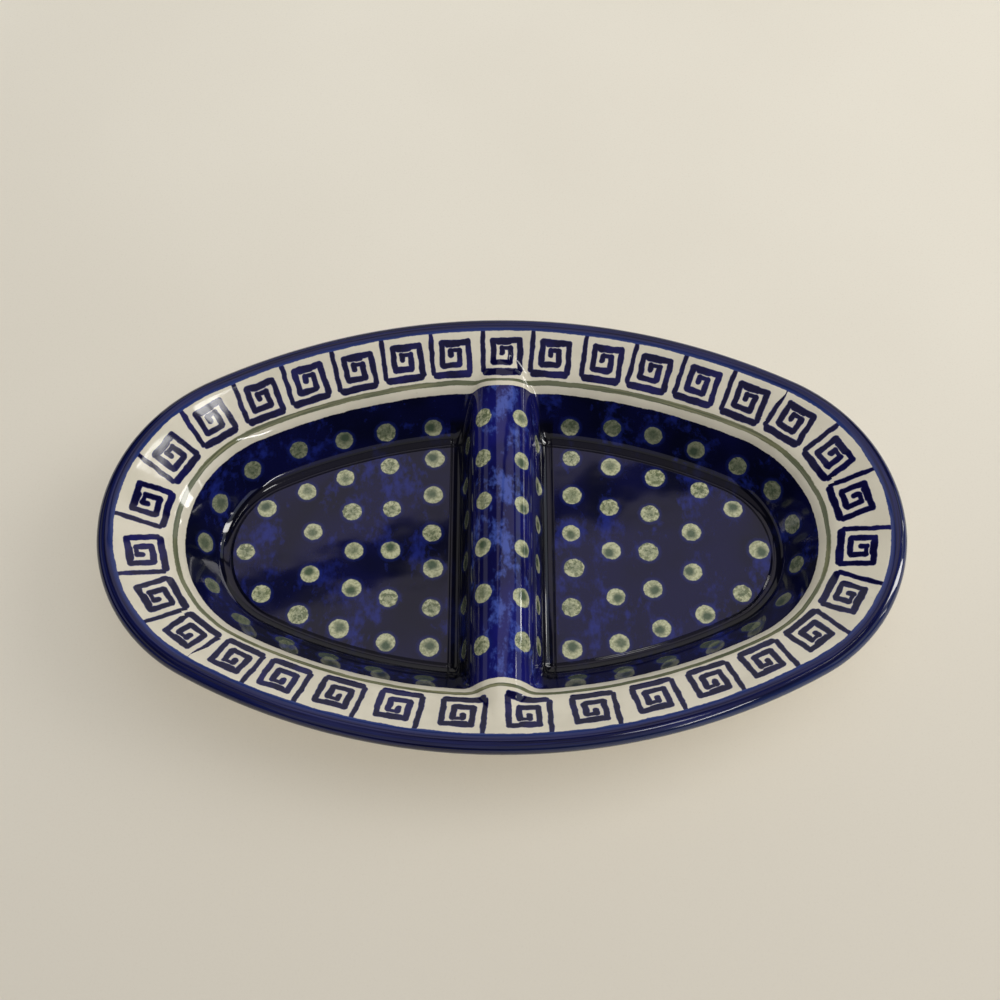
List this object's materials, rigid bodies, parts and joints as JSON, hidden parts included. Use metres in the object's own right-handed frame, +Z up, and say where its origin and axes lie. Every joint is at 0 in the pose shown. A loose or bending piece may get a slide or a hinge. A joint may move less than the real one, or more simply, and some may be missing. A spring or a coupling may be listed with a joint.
{
  "type": "divided olive dish",
  "caption": "Oval stoneware serving dish with a sloping rim, a pair of wells parted by a round-topped ridge, and a foot ring.",
  "frame": {"origin": "on the table, under the middle of the dish", "axes": "+X along the length of the dish towards the right well, +Y across it towards the back, +Z up"},
  "size_m": [0.26, 0.156, 0.033],
  "materials": {
    "blue_lip": "gloss",
    "stamped_rim": "gloss",
    "blue_well": "gloss",
    "blue_ridge": "gloss",
    "bare_foot": "matte"
  },
  "bodies": {
    "root": {"rim_lip": "blue_lip", "rim_flange": "stamped_rim", "left_wall": "blue_well", "right_wall": "blue_well", "left_floor": "blue_well", "right_floor": "blue_well", "divider": "blue_ridge", "foot_ring": "bare_foot"}
  },
  "joints": []
}
